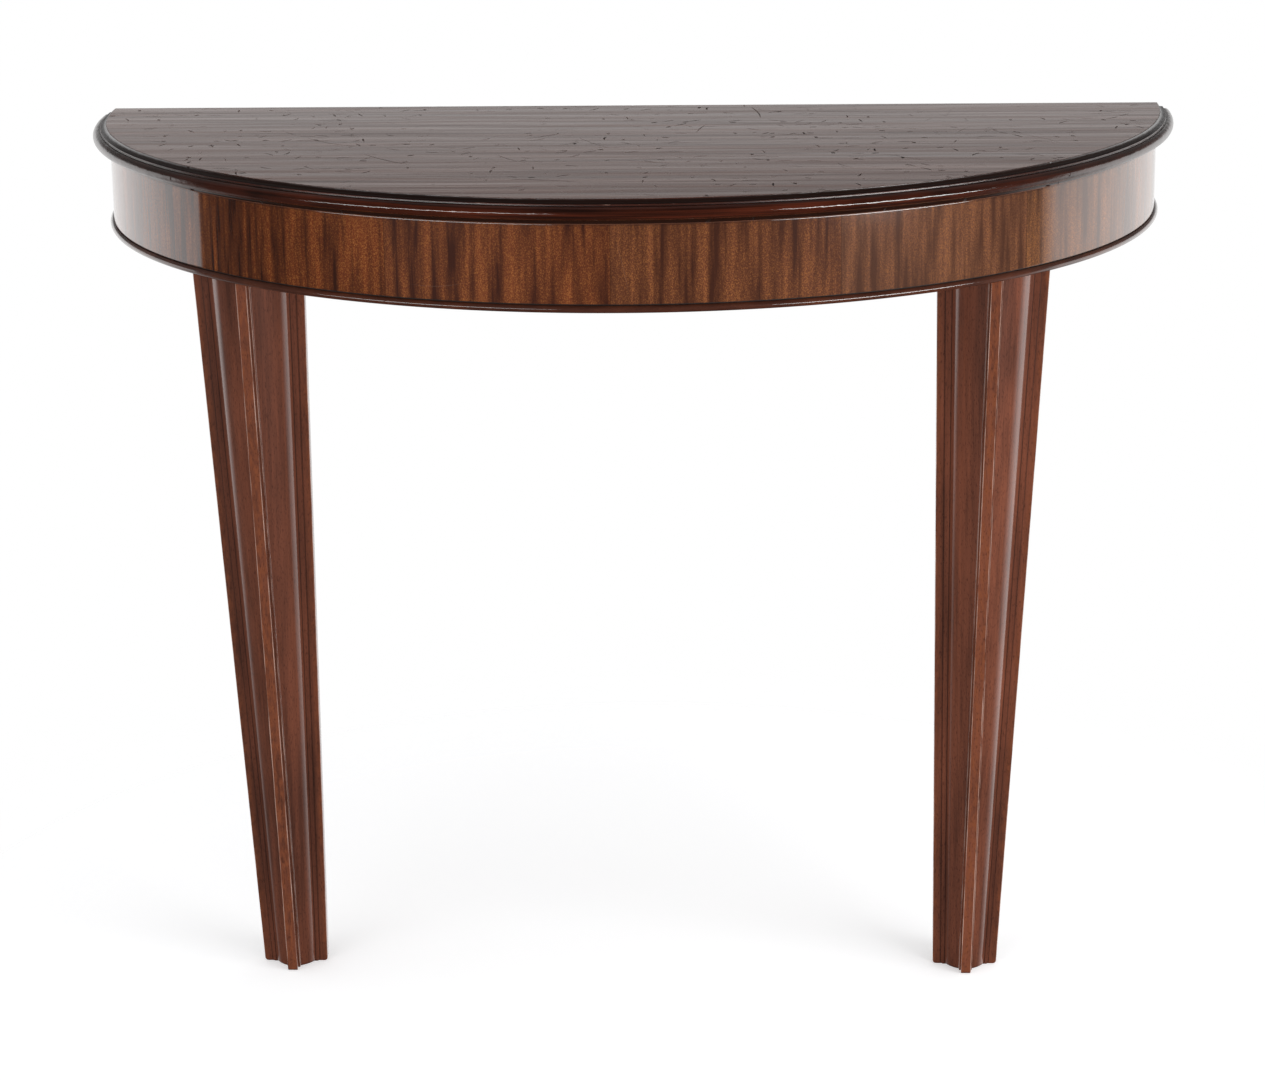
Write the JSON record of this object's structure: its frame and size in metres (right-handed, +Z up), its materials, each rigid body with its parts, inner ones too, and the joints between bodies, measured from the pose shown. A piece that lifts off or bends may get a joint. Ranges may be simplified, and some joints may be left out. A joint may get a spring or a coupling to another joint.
{
  "type": "demilune table",
  "caption": "Half-round wall table with a moulded mahogany top, a striped veneered frieze with a beaded lower edge, and tapering moulded legs set cornerwise under the curve.",
  "frame": {"origin": "on the floor, midway between the ends and midway between the wall and the front", "axes": "+Z up, +X to the right seen from the front, +Y to the wall"},
  "size_m": [1.06, 0.5299, 0.777],
  "materials": {
    "top_mahogany": "french polished, dark, worn",
    "striped_veneer": "french polished ribbon stripe",
    "bead_mahogany": "polished, worn",
    "leg_mahogany": "satin polished",
    "softwood": "bare, aged"
  },
  "bodies": {
    "root": {"back_rail": "softwood", "bearer": "softwood", "bearer_block_left": "softwood", "bearer_block_right": "softwood", "corner_block_left": "softwood", "corner_block_right": "softwood", "frieze_bead": "bead_mahogany", "frieze_brick_lower_1": "softwood", "frieze_brick_lower_2": "softwood", "frieze_brick_lower_3": "softwood", "frieze_brick_lower_4": "softwood", "frieze_brick_lower_5": "softwood", "frieze_brick_lower_6": "softwood", "frieze_brick_middle_1": "softwood", "frieze_brick_middle_2": "softwood", "frieze_brick_middle_3": "softwood", "frieze_brick_middle_4": "softwood", "frieze_brick_middle_5": "softwood", "frieze_brick_middle_6": "softwood", "frieze_brick_middle_7": "softwood", "frieze_brick_upper_1": "softwood", "frieze_brick_upper_2": "softwood", "frieze_brick_upper_3": "softwood", "frieze_brick_upper_4": "softwood", "frieze_brick_upper_5": "softwood", "frieze_brick_upper_6": "softwood", "frieze_veneer_1": "striped_veneer", "frieze_veneer_2": "striped_veneer", "frieze_veneer_3": "striped_veneer", "frieze_veneer_4": "striped_veneer", "frieze_veneer_5": "striped_veneer", "frieze_veneer_6": "striped_veneer", "frieze_veneer_7": "striped_veneer", "frieze_veneer_8": "striped_veneer", "leg_block_left_a": "softwood", "leg_block_left_b": "softwood", "leg_block_right_a": "softwood", "leg_block_right_b": "softwood", "leg_left": "leg_mahogany", "leg_right": "leg_mahogany", "top_block_frieze_1": "softwood", "top_block_frieze_2": "softwood", "top_block_frieze_3": "softwood", "top_block_frieze_4": "softwood", "top_block_rail_left": "softwood", "top_block_rail_right": "softwood", "top_board_back": "top_mahogany", "top_board_front": "top_mahogany", "top_board_middle": "top_mahogany"}
  },
  "joints": []
}
